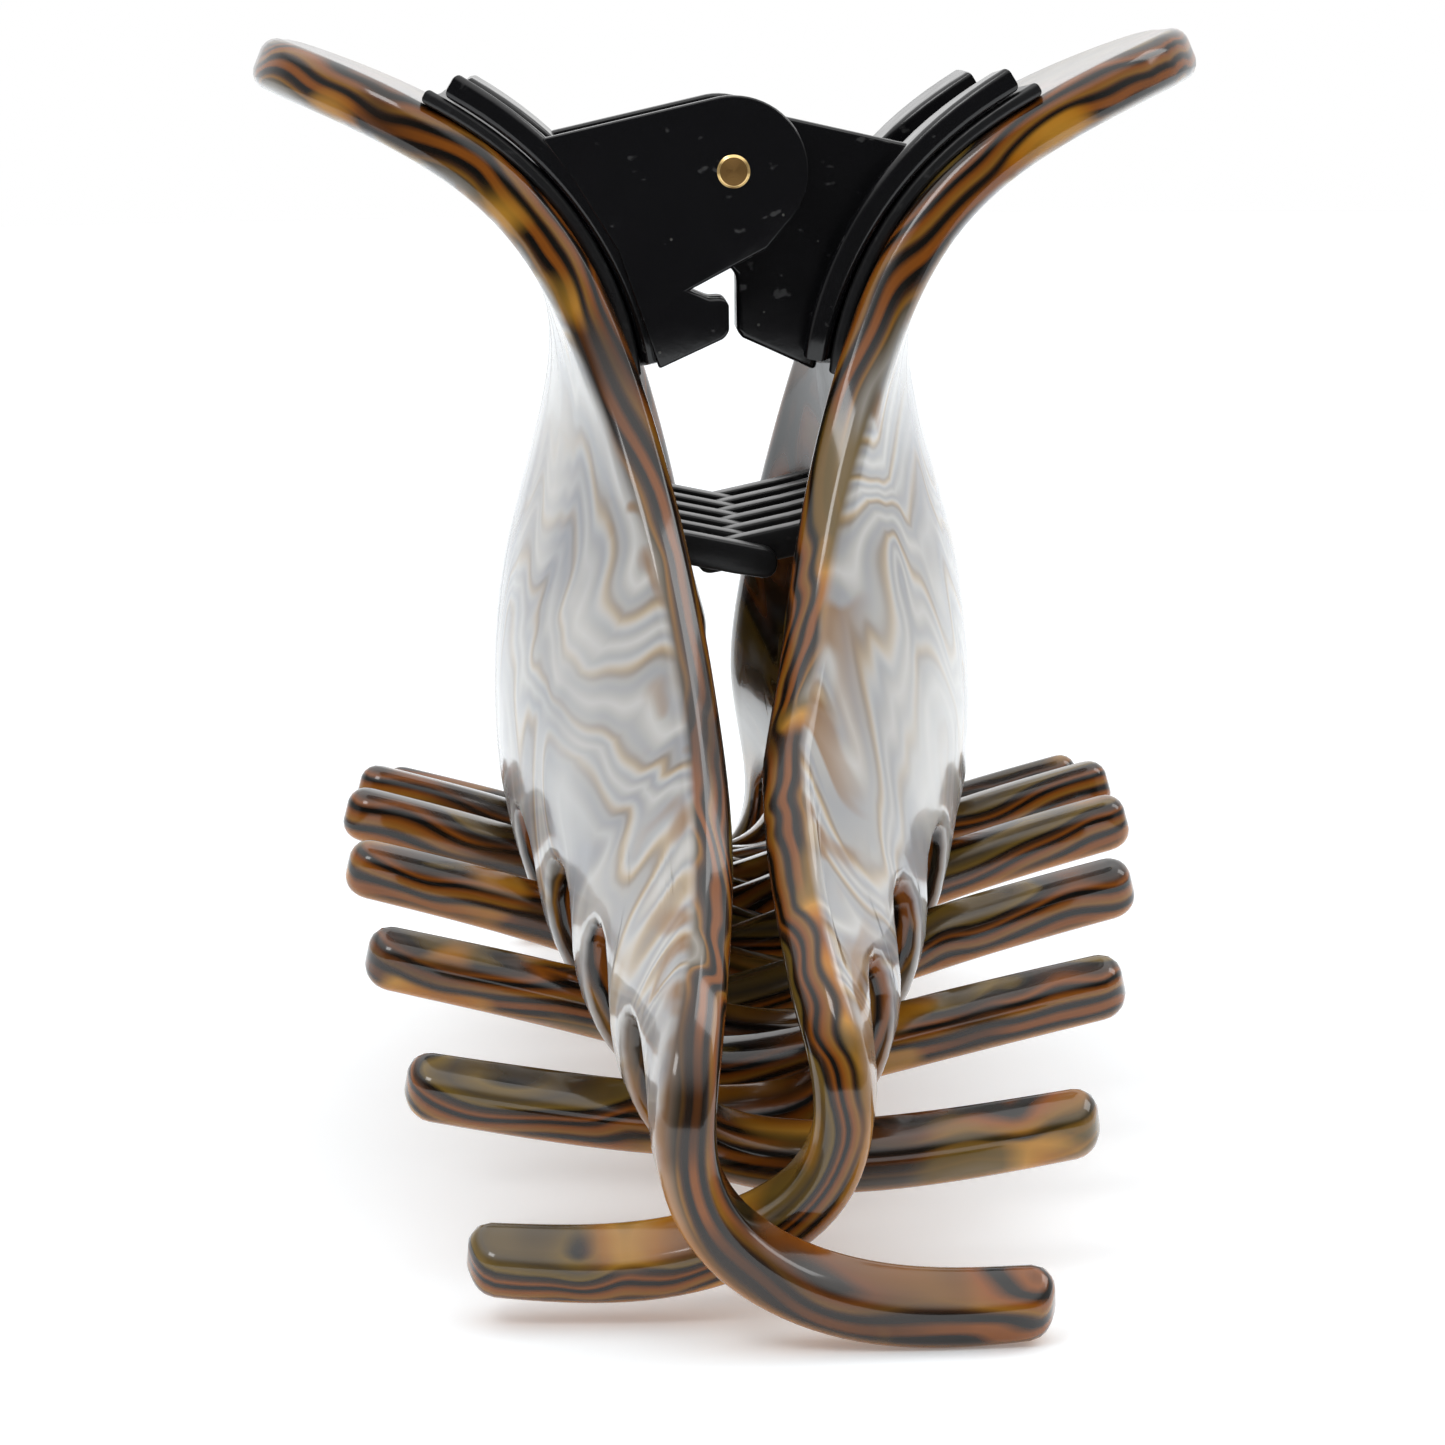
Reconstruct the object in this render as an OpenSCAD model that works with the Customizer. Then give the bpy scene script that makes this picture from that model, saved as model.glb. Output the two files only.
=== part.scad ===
// Claw clip: two bent jaws with interlocking fingers, on a sprung plastic hinge.
// Millimetres. +Z up, Y along the hinge pin, origin on the ground under the middle.

/* [Jaws] */
// Thickness of the acetate sheet
sheet_t = 3; // [2.6:0.1:3.4]
// Number of fingers on each jaw
finger_count = 10; // [8:1:10]
// Distance from one finger to the next
finger_pitch = 10; // [9.8:0.1:10.4]
// Width of one finger
finger_w = 3.8; // [3:0.1:4]
// Lengthwise step between a finger and its neighbour on the other jaw
finger_step = 4.7; // [4.5:0.1:5]
// How far down the jaw its slots begin in the middle, in steps of the outline
slot_root_mid = 4.15; // [3.8:0.05:4.4]
// How far down the jaw its slots begin at the ends, in steps of the outline
slot_root_end = 5.1; // [4.6:0.05:5.2]
// Corner radius of the finger rest
handle_corner = 9; // [5:0.5:11]

/* [Hinge] */
// Height of the hinge pin above the ground
pin_z = 56.8; // [56:0.1:58]
// Diameter of the hinge pin
pin_d = 2.5; // [2:0.1:2.6]
// Length of the hinge brackets along the pin
bracket_len = 30; // [28:0.5:31]
// Thickness of the brackets' ears
ear_t = 2; // [1.6:0.1:2.4]
// Radial running clearance between the pin and the right bracket
pin_clearance = 0.05; // [0.02:0.01:0.1]
// Thickness of the brackets' mounting plates
plate_t = 1.4; // [1.2:0.1:1.6]
// Thickness of the comb strips that lie between plate and jaw
strip_t = 0.8; // [0.6:0.1:0.9]
// Gap between a mounting plate and its comb strip
plate_gap = 0.1; // [0.05:0.05:0.2]

/* [Spring] */
// Wire diameter of the torsion spring
wire_d = 0.9; // [0.7:0.1:1]
// Turns in the torsion spring
coil_turns = 8; // [5:1:9]

/* [Grip combs] */
// Teeth on each grip comb
comb_teeth = 6; // [4:1:6]
// Distance from one comb tooth to the next
comb_pitch = 5; // [4.6:0.1:5.2]
// Width of one comb tooth
comb_tooth_w = 1.9; // [1.5:0.1:2]

/* [Hidden] */

// The left jaw's lengthwise outline in two control curves, from the finger rest down to the
// finger tips: across its middle as [x, z], and along its end edge as [x, half length, z].
middle_curve = [[-26.8, 64], [-12.5, 58], [-7, 48.6], [-12.7, 35], [-12.9, 20],
                [-7.6, 10.7], [0.3, 12], [10.5, 17], [23, 20.4]];
edge_curve = [[-26.8, 12.8, 64.3], [-12.5, 15.4, 58.3], [-7, 16.5, 48.6], [-2.5, 23.5, 34.8],
              [-1.4, 37.5, 22.3], [-4.9, 49, 11.6], [-1.7, 49.4, 5.1], [5.5, 49.1, 1.8],
              [12.9, 49.1, 2.1]];
spans = len(middle_curve) - 1;

half_length = ((finger_count - 1) * finger_pitch + finger_step + finger_w) / 2;
short_half = half_length - finger_step;      // the far end of a jaw stops one step short
length_scale = half_length / edge_curve[spans][1];

// Mesh of the jaws
body_rows = 20;
finger_rows = 14;
slot_cells = 4;
lines_per_finger = 1 + slot_cells;           // column lines from one finger to the next
columns = (finger_count - 1) * lines_per_finger + 2;
slot_r = (finger_pitch - finger_w) / 2;

// Hinge layout along Y, all positive halves
bracket_half = bracket_len / 2;
ear_gap = 0.3;
inner_ear_y = bracket_half - ear_t - ear_gap;
left_nose_r = 4.1;
right_nose_r = 3.5;
plate_off = sheet_t / 2 + strip_t + plate_gap; // from the sheet's middle to the plate
spring_r = pin_d / 2 + 1.2;                  // mean radius of the coil
comb_z = 36.1;

// Where plates and strips begin and end, in steps of the outline
wing_tip_s = 0.72;
wing_root_s = 1.15;
plate_end_s = 2.12;
strip_neck_s = 2.16;
strip_end_s = 3;
strip_neck_half = 11.5;
wing_w = 7;

// ---- spline and sheet surface -------------------------------------------------------

function padded(p) = concat([2 * p[0] - p[1]], p, [2 * p[len(p) - 1] - p[len(p) - 2]]);
middle_padded = padded(middle_curve);
edge_padded = padded(edge_curve);

// Uniform cubic B-spline through the padded control list, s from 0 to spans
function spline(p, s) =
    let (i = min(floor(s), spans - 1), f = s - i, g = 1 - f)
    (g * g * g * p[i] + (3 * f * f * f - 6 * f * f + 4) * p[i + 1]
     + (-3 * f * f * f + 3 * f * f + 3 * f + 1) * p[i + 2] + f * f * f * p[i + 3]) / 6;

function smooth(a, b, v) = let (k = min(max((v - a) / (b - a), 0), 1)) k * k * (3 - 2 * k);

// Half length of the sheet at s, before its corners are rounded
function half_at(s) =
    let (k = smooth(4, 4.95, s))
    spline(edge_padded, s)[1] * length_scale * (1 - k) + half_length * k;

// One end of a jaw is cut a finger step short, so that the two jaws' fingers alternate
function step_at(s) = finger_step * smooth(2, 5, s);
function reach_at(s, y) = half_at(s) - (y > 0 ? step_at(s) * (1 - 0.35 * smooth(4.5, 6.5, s)) : 0);

// The finger rest's rounded corners, as an inset from half_at
function corner_inset(s) =
    let (d = min(s * 12, handle_corner))
    handle_corner - sqrt(handle_corner * handle_corner - pow(handle_corner - d, 2));

// Where the fingers begin at bottom position c
function root_line(c) =
    slot_root_mid + (slot_root_end - slot_root_mid) * pow(c / half_length, 2);

// Y on the sheet at s, for the column that ends at bottom position c: columns spread in
// proportion at first, and the inner ones turn into their fingers' lanes before the roots
function column_y(s, c) =
    let (spread = c < 0 ? (half_at(s) - corner_inset(s)) / half_length
                        : (half_at(s) - corner_inset(s) - step_at(s)) / short_half,
         k = smooth(0.65, 1, s / root_line(c)) * (1 - pow(c / half_length, 4)))
    c * (spread * (1 - k) + k);

function sheet_point(s, y) =
    let (m = spline(middle_padded, s), e = spline(edge_padded, s),
         w = min(pow(y / reach_at(s, y), 2), 1))
    [m[0] * (1 - w) + e[0] * w, y, m[1] * (1 - w) + e[2] * w];

// Unit normal of the sheet, towards the inside of the left jaw; its lean along Y is eased at
// the fingers, so that each finger stays in its own lane
function sheet_normal(s, y) =
    let (d = 0.01, s0 = max(s - d, 0), s1 = min(s + d, spans),
         yc = min(max(y, 2 * d - half_at(s)), reach_at(s, 1) - 2 * d),
         along = sheet_point(s1, yc) - sheet_point(s0, yc),
         across = sheet_point(s, yc + d) - sheet_point(s, yc - d),
         c = cross(along, across), n = [c[0], c[1] * (1 - 0.3 * smooth(4, 5, s)), c[2]])
    n / norm(n);

function off_sheet(s, y, off) = sheet_point(s, y) + off * sheet_normal(s, y);

// ---- jaw mesh ------------------------------------------------------------------------

function finger_y(k) = -half_length + finger_w / 2 + k * finger_pitch;

// Bottom position of column line j: two lines on each finger, the rest across the slot
function line_c(j) =
    let (k = floor(j / lines_per_finger), r = j % lines_per_finger)
    r < 2 ? finger_y(k) + (r - 0.5) * finger_w
          : finger_y(k) + finger_w / 2 - slot_r * cos((r - 1) * 180 / slot_cells) + slot_r;

// Where the body ends on column line j: slots rise above the root line in an arc
function root_s(j) =
    let (r = j % lines_per_finger, arc = r < 2 ? 0 : sin((r - 1) * 180 / slot_cells))
    root_line(line_c(j)) - arc * slot_r / 12.5;

function body_point(i, j, off) =
    let (s = root_s(j) * pow(i / body_rows, 1.25))
    off_sheet(s, column_y(s, line_c(j)), off);

function finger_point(k, q, side_line, off) =
    let (j = k * lines_per_finger + side_line, f = q / finger_rows,
         s = root_s(j) + (spans - root_s(j)) * f,
         taper = side_line == 0 ? 0.4 : -0.4)
    off_sheet(s, line_c(j) + taper * f * f, off);

function body_id(i, j, side) = 2 * (i * columns + j) + side;
finger_base = 2 * (body_rows + 1) * columns;
function finger_id(k, q, l, side) =
    q == 0 ? body_id(body_rows, k * lines_per_finger + l, side)
           : finger_base + 2 * (2 * (k * finger_rows + q - 1) + l) + side;

jaw_points = concat(
    [for (i = [0:body_rows], j = [0:columns - 1], side = [0, 1])
        body_point(i, j, (side - 0.5) * sheet_t)],
    [for (k = [0:finger_count - 1], q = [1:finger_rows], l = [0, 1], side = [0, 1])
        finger_point(k, q, l, (side - 0.5) * sheet_t)]);

// Each wall or skin is a quad; a and b run along it, side 1 is the inner skin
body_skin = [for (i = [0:body_rows - 1], j = [0:columns - 2], side = [0, 1])
    let (a = body_id(i, j, side), b = body_id(i + 1, j, side),
         c = body_id(i + 1, j + 1, side), d = body_id(i, j + 1, side))
    side == 1 ? [d, c, b, a] : [a, b, c, d]];
finger_skin = [for (k = [0:finger_count - 1], q = [0:finger_rows - 1], side = [0, 1])
    let (a = finger_id(k, q, 0, side), b = finger_id(k, q + 1, 0, side),
         c = finger_id(k, q + 1, 1, side), d = finger_id(k, q, 1, side))
    side == 1 ? [d, c, b, a] : [a, b, c, d]];
top_wall = [for (j = [0:columns - 2])
    [body_id(0, j + 1, 0), body_id(0, j + 1, 1), body_id(0, j, 1), body_id(0, j, 0)]];
near_wall = [for (i = [0:body_rows - 1])
    [body_id(i, 0, 0), body_id(i, 0, 1), body_id(i + 1, 0, 1), body_id(i + 1, 0, 0)]];
far_wall = [for (i = [0:body_rows - 1])
    [body_id(i + 1, columns - 1, 0), body_id(i + 1, columns - 1, 1),
     body_id(i, columns - 1, 1), body_id(i, columns - 1, 0)]];
root_wall = [for (k = [0:finger_count - 2], r = [1:lines_per_finger - 1])
    let (j = k * lines_per_finger + r)
    [body_id(body_rows, j, 0), body_id(body_rows, j, 1),
     body_id(body_rows, j + 1, 1), body_id(body_rows, j + 1, 0)]];
finger_walls = [for (k = [0:finger_count - 1], q = [0:finger_rows - 1], l = [0, 1])
    let (a = finger_id(k, q, l, 0), b = finger_id(k, q, l, 1),
         c = finger_id(k, q + 1, l, 1), d = finger_id(k, q + 1, l, 0))
    l == 0 ? [a, b, c, d] : [d, c, b, a]];
tip_walls = [for (k = [0:finger_count - 1])
    [finger_id(k, finger_rows, 0, 0), finger_id(k, finger_rows, 0, 1),
     finger_id(k, finger_rows, 1, 1), finger_id(k, finger_rows, 1, 0)]];
jaw_faces = concat(body_skin, finger_skin, top_wall, near_wall, far_wall, root_wall,
                   finger_walls, tip_walls);

// Height of the lowest finger's underside, which is what the clip stands on
ground = min([for (p = jaw_points) p[2]]);

module jaw() {
    translate([0, 0, -ground])
        polyhedron(points = jaw_points, faces = jaw_faces, convexity = 10);
}

// A strip that follows the inside of the left jaw from s0 to s1, between two offsets
module inner_strip(s0, s1, y0, y1, off0, off1, rows = 12, cells = 4) {
    function id(i, j, side) = 2 * (i * (cells + 1) + j) + side;
    pts = [for (i = [0:rows], j = [0:cells], side = [0, 1])
        off_sheet(s0 + (s1 - s0) * i / rows, y0 + (y1 - y0) * j / cells, side == 0 ? off0 : off1)];
    skins = [for (i = [0:rows - 1], j = [0:cells - 1], side = [0, 1])
        let (a = id(i, j, side), b = id(i + 1, j, side), c = id(i + 1, j + 1, side),
             d = id(i, j + 1, side))
        side == 1 ? [d, c, b, a] : [a, b, c, d]];
    ends = [for (j = [0:cells - 1], i = [0, rows])
        let (a = id(i, j, 0), b = id(i, j, 1), c = id(i, j + 1, 1), d = id(i, j + 1, 0))
        i == 0 ? [d, c, b, a] : [a, b, c, d]];
    sides = [for (i = [0:rows - 1], j = [0, cells])
        let (a = id(i, j, 0), b = id(i, j, 1), c = id(i + 1, j, 1), d = id(i + 1, j, 0))
        j == 0 ? [a, b, c, d] : [d, c, b, a]];
    translate([0, 0, -ground])
        polyhedron(points = pts, faces = concat(skins, ends, sides), convexity = 4);
}

// Extrudes an outline drawn in X and Z along Y, from y0 to y1
module plate_y(y0, y1) {
    translate([0, y1, 0])
        rotate([90, 0, 0])
            linear_extrude(height = y1 - y0)
                children();
}

module at_pin() {
    translate([0, 0, pin_z])
        children();
}

module pin_bore(r) {
    at_pin()
        rotate([90, 0, 0])
            cylinder(h = bracket_len + 10, r = r, center = true, $fn = 48);
}

// ---- the pieces ----------------------------------------------------------------------

module left_jaw() {
    color([0.62, 0.42, 0.25]) jaw();
}

module right_jaw() {
    color([0.62, 0.42, 0.25]) rotate([0, 0, 180]) jaw();
}

// A bracket's mounting plate: whole below, and cut into two end wings at the finger rest
module mounting_plate() {
    inner_strip(wing_root_s, plate_end_s, -bracket_half, bracket_half,
                plate_off, plate_off + plate_t);
    for (y = [-bracket_half, bracket_half - wing_w])
        inner_strip(wing_tip_s, wing_root_s + 0.02, y, y + wing_w,
                    plate_off, plate_off + plate_t, 5, 1);
}

// Outline of a left ear: a round nose at the pin that widens back to the mounting plate
module left_ear_outline() {
    translate([0, pin_z]) circle(r = left_nose_r, $fn = 64);
    polygon([[-1, pin_z + 4.13], [-10.4, pin_z + 1.9], [-8.6, 56.2], [-6.4, 52.6],
             [-5.3, 49.6], [-2.52, 50.36], [-0.38, 51.47], [1.8, 52.6], [2.9, 53.9], [2.5, pin_z]]);
}

// Outline of the hook under the near left ear, which stops the jaws from closing too far
module left_hook_outline() {
    polygon([[-5.5, 50.6], [-2.52, 50.36], [-1.4, 49.9], [-0.75, 49.93], [-0.45, 49.78],
             [-0.33, 49.5], [-0.33, 48.2], [-0.45, 47.9], [-0.7, 47.68], [-4.2, 46.1], [-5, 48.5]]);
}

module left_hinge_bracket() {
    color([0.03, 0.03, 0.03]) difference() {
        union() {
            mounting_plate();
            for (y = [-bracket_half, bracket_half - ear_t])
                plate_y(y, y + ear_t) left_ear_outline();
            plate_y(-bracket_half, -bracket_half + 2.6 * ear_t) left_hook_outline();
        }
        pin_bore(pin_d / 2);
    }
}

// Outline of a right ear, drawn in place on the right of the pin
module right_ear_outline() {
    translate([0, pin_z]) circle(r = right_nose_r, $fn = 64);
    polygon([[0.8, pin_z + 3.4], [9.9, pin_z + 1.3], [8.7, 56.2], [6.4, 52.6], [5.4, 49.8],
             [0.16, 51.1], [-0.38, 51.7], [-3, 55.1], [-1, pin_z]]);
}

// Outline of the block that the hook meets, with a rounded lower corner
module right_block_outline() {
    polygon([[0.16, 51.4], [0.16, 48.1], [0.25, 47.8], [0.5, 47.6], [4.5, 45.75], [5, 48.5],
             [5.8, 51.4], [3, 52.5]]);
}

module right_hinge_bracket() {
    color([0.03, 0.03, 0.03]) difference() {
        union() {
            rotate([0, 0, 180]) mounting_plate();
            for (y = [-inner_ear_y, inner_ear_y - ear_t])
                plate_y(y, y + ear_t) right_ear_outline();
            plate_y(-inner_ear_y, -inner_ear_y + 2.4 * ear_t) right_block_outline();
        }
        pin_bore(pin_d / 2 + pin_clearance);
    }
}

// One comb tooth, drawn for the left jaw: it slopes down across the middle of the clip
module comb_tooth_outline() {
    polygon([[-9.9, comb_z + 2.7], [-3.2, comb_z + 1], [1.6, comb_z], [2.1, comb_z - 0.4],
             [2.2, comb_z - 1], [1.6, comb_z - 1.7], [-0.2, comb_z - 1.4], [-9.9, comb_z + 0.6]]);
}

module grip_comb(first_y) {
    inner_strip(wing_tip_s - 0.06, strip_neck_s, -bracket_half + 0.3, bracket_half - 0.3,
                sheet_t / 2, sheet_t / 2 + strip_t, 11, 4);
    inner_strip(strip_neck_s - 0.05, strip_end_s, -strip_neck_half, strip_neck_half,
                sheet_t / 2, sheet_t / 2 + strip_t, 6, 4);
    intersection() {
        for (k = [0:comb_teeth - 1])
            plate_y(first_y + k * comb_pitch, first_y + k * comb_pitch + comb_tooth_w)
                comb_tooth_outline();
        inner_strip(2.4, 3.6, -bracket_half, bracket_half, sheet_t / 2, sheet_t / 2 + 30, 8, 4);
    }
}

comb_start = -(comb_teeth - 1) * comb_pitch / 2 - comb_pitch / 4 - comb_tooth_w / 2;

module left_grip_comb() {
    color([0.04, 0.04, 0.04]) grip_comb(comb_start);
}

module right_grip_comb() {
    color([0.04, 0.04, 0.04]) rotate([0, 0, 180]) grip_comb(comb_start);
}

// Brass pin with chamfered ends, a little proud of the outer ears
module hinge_pin() {
    chamfer = 0.5;
    proud = 0.15;
    half = bracket_half + proud;
    color([0.72, 0.52, 0.2]) at_pin() rotate([90, 0, 0]) rotate_extrude($fn = 48)
        polygon([[0, -half], [pin_d / 2 - chamfer, -half], [pin_d / 2, -half + chamfer],
                 [pin_d / 2, half - chamfer], [pin_d / 2 - chamfer, half], [0, half]]);
}

// Round wire swept through a list of points
module wire(path, sides = 8) {
    last = len(path) - 1;
    function heading(i) = path[min(i + 1, last)] - path[max(i - 1, 0)];
    function ring(i) =
        let (t = heading(i) / norm(heading(i)),
             u0 = cross(t, [0, 1, 0.02]), u = u0 / norm(u0), v = cross(t, u))
        [for (a = [0:sides - 1])
            path[i] + wire_d / 2 * (cos(a * 360 / sides) * u + sin(a * 360 / sides) * v)];
    polyhedron(
        points = [for (i = [0:last]) each ring(i)],
        faces = concat(
            [[for (a = [0:sides - 1]) a]],
            [for (i = [0:last - 1], a = [0:sides - 1])
                [i * sides + a, (i + 1) * sides + a, (i + 1) * sides + (a + 1) % sides,
                 i * sides + (a + 1) % sides]],
            [[for (a = [sides - 1:-1:0]) last * sides + a]]),
        convexity = 8);
}

coil_step = wire_d + 0.15;
coil_half = coil_turns * coil_step / 2;
function coil_point(angle, y) = [spring_r * cos(angle), y, spring_r * sin(angle)];

// The coil round the pin, ending in the leg that presses on the left bracket
module torsion_spring() {
    segments = 14;
    leg = [[-8.3, -coil_half, 0.9]];
    coil = [for (i = [0:coil_turns * segments])
        let (a = 100 - i * 360 / segments)
        coil_point(a, -coil_half + i * coil_step / segments)];
    color([0.7, 0.7, 0.72]) at_pin() wire(concat(leg, coil));
}

// The coil's other end: the leg that presses on the right bracket and swings with it
module spring_moving_leg() {
    lane = coil_half + coil_step;
    turn = [for (a = [0:15:75]) coil_point(155 - a, lane)];
    color([0.7, 0.7, 0.72]) at_pin() wire(concat(turn, [[8.3, lane, 0.9]]));
}

left_jaw();
right_jaw();
left_hinge_bracket();
right_hinge_bracket();
left_grip_comb();
right_grip_comb();
hinge_pin();
torsion_spring();
spring_moving_leg();
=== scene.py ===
# Looks for a hair claw clip: marbled acetate jaws on a black sprung hinge with a brass pin.
# Shapes are worked out in millimetres and turned into metres when a mesh is made.

import math

import bmesh
import bpy
import numpy as np
from mathutils import Matrix, Vector


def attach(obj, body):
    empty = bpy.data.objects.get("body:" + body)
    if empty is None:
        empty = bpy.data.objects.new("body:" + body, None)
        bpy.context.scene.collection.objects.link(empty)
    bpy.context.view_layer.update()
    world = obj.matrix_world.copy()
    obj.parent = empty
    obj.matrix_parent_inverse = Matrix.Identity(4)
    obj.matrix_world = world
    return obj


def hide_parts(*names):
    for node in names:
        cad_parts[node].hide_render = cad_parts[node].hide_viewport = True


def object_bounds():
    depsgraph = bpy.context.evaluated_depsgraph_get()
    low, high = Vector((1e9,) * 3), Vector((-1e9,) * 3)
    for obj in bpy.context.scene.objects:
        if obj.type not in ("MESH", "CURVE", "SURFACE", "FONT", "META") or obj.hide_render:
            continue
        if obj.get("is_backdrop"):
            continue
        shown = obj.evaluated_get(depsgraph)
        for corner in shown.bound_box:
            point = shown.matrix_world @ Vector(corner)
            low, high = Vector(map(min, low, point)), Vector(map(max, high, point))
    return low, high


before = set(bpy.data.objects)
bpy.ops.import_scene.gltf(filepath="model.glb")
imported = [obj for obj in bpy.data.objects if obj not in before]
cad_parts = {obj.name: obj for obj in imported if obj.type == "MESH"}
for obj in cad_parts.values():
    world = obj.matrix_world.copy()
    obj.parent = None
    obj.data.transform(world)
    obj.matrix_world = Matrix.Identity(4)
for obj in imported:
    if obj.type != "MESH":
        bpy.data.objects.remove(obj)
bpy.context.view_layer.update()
MM = 0.001


# ---- camera --------------------------------------------------------------------------
# A long lens a little above the hinge pin, looking down the clip's length at its end.

camera_place = Vector((-7.35, -235.76, 62.0)) * MM
camera_yaw, camera_pitch, camera_roll = (math.radians(a) for a in (1.66, 9.15, -0.66))

camera_data = bpy.data.cameras.new("camera")
camera_data.lens = 100.18
camera_data.sensor_width = 36
camera_data.clip_start = 0.01
camera = bpy.data.objects.new("camera", camera_data)
bpy.context.scene.collection.objects.link(camera)
forward = Vector((math.sin(camera_yaw) * math.cos(camera_pitch),
                  math.cos(camera_yaw) * math.cos(camera_pitch),
                  -math.sin(camera_pitch)))
level_right = Vector((math.cos(camera_yaw), -math.sin(camera_yaw), 0))
level_up = level_right.cross(forward)
camera_right = level_right * math.cos(camera_roll) + level_up * math.sin(camera_roll)
camera_up = level_up * math.cos(camera_roll) - level_right * math.sin(camera_roll)
camera_axes = Matrix((camera_right, camera_up, -forward)).transposed().to_4x4()
camera.matrix_world = Matrix.Translation(camera_place) @ camera_axes
bpy.context.scene.camera = camera


# ---- the two jaws --------------------------------------------------------------------
# Each jaw is one blank of 3 mm laminated acetate, slotted into fingers, bent hot over a
# form and tumbled until its edges are round. The right jaw is the left one turned half round.

sheet_t = 3.0
finger_count, finger_pitch, finger_w, finger_step = 10, 10.0, 3.8, 4.7
slot_root_mid, slot_root_end = 4.15, 5.1
handle_corner = 9.0
edge_round = 1.0
tip_round = 0.35
finger_taper = 0.4
roll_angles = [20, 40, 60, 80, 90, 90, 100, 120, 140, 160]     # of the rings round an edge
step_length = 12.5                 # millimetres of sheet in one step of the outline
corner_step_length = 12.0          # the same, beside the finger rest's corners
tip_step_length = 11.0             # the same, at the finger tips
finger_length = 40.0
middle_curve = [(-26.8, 64), (-12.5, 58), (-7, 48.6), (-12.7, 35), (-12.9, 20),
                (-7.6, 10.7), (0.3, 12), (10.5, 17), (23, 20.4)]
edge_curve = [(-26.8, 12.8, 64.3), (-12.5, 15.4, 58.3), (-7, 16.5, 48.6), (-2.5, 23.5, 34.8),
              (-1.4, 37.5, 22.3), (-4.9, 49, 11.6), (-1.7, 49.4, 5.1), (5.5, 49.1, 1.8),
              (12.9, 49.1, 2.1)]
spans = len(middle_curve) - 1
half_length = ((finger_count - 1) * finger_pitch + finger_step + finger_w) / 2
length_scale = half_length / edge_curve[-1][1]


def spline(points, s):
    """Uniform cubic B-spline through a padded control list, s from 0 to spans."""
    p = np.array(points, float)
    p = np.vstack([2 * p[0] - p[1], p, 2 * p[-1] - p[-2]])
    i = np.clip(np.floor(s).astype(int), 0, spans - 1)
    f = (s - i)[..., None]
    g = 1 - f
    return (g ** 3 * p[i] + (3 * f ** 3 - 6 * f ** 2 + 4) * p[i + 1]
            + (-3 * f ** 3 + 3 * f ** 2 + 3 * f + 1) * p[i + 2] + f ** 3 * p[i + 3]) / 6


def smooth(a, b, v):
    k = np.clip((v - a) / (b - a), 0, 1)
    return k * k * (3 - 2 * k)


def half_at(s):
    k = smooth(4, 4.95, s)
    return spline(edge_curve, s)[..., 1] * length_scale * (1 - k) + half_length * k


def step_at(s):
    return finger_step * smooth(2, 5, s)


def reach_at(s, y):
    shorter = step_at(s) * (1 - 0.35 * smooth(4.5, 6.5, s))
    return half_at(s) - np.where(y > 0, shorter, 0)


def sheet_point(s, y):
    m, e = spline(middle_curve, s), spline(edge_curve, s)
    w = np.minimum((y / reach_at(s, y)) ** 2, 1)
    return np.stack([m[..., 0] * (1 - w) + e[..., 0] * w, y,
                     m[..., 1] * (1 - w) + e[..., 2] * w], -1)


def sheet_normal(s, y):
    """Towards the inside of the left jaw."""
    d = 0.01
    y = np.clip(y, 2 * d - half_at(s), reach_at(s, np.ones_like(s)) - 2 * d)
    along = sheet_point(np.minimum(s + d, spans), y) - sheet_point(np.maximum(s - d, 0), y)
    across = sheet_point(s, y + d) - sheet_point(s, y - d)
    n = np.cross(along, across)
    n[..., 1] *= 1 - 0.3 * smooth(4, 5, s)
    return n / np.linalg.norm(n, axis=-1, keepdims=True)


def off_sheet(s, y, off):
    return sheet_point(s, y) + off * sheet_normal(s, y)


foot_s = np.linspace(5, spans, 120)
foot_y = np.full_like(foot_s, -half_length)
ground = min(off_sheet(foot_s, foot_y, side)[:, 2].min() for side in (-sheet_t / 2, sheet_t / 2))


def border(quads):
    """The edges that only one quad uses, chained into closed loops."""
    after = {}
    used = {(a, b) for q in quads for a, b in zip(q, q[1:] + q[:1])}
    for a, b in used:
        if (b, a) not in used:
            after[a] = b
    loops = []
    while after:
        first, loop = next(iter(sorted(after))), []
        at = first
        while at in after:
            loop.append(at)
            at = after.pop(at)
        loops.append(loop)
    return loops


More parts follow.
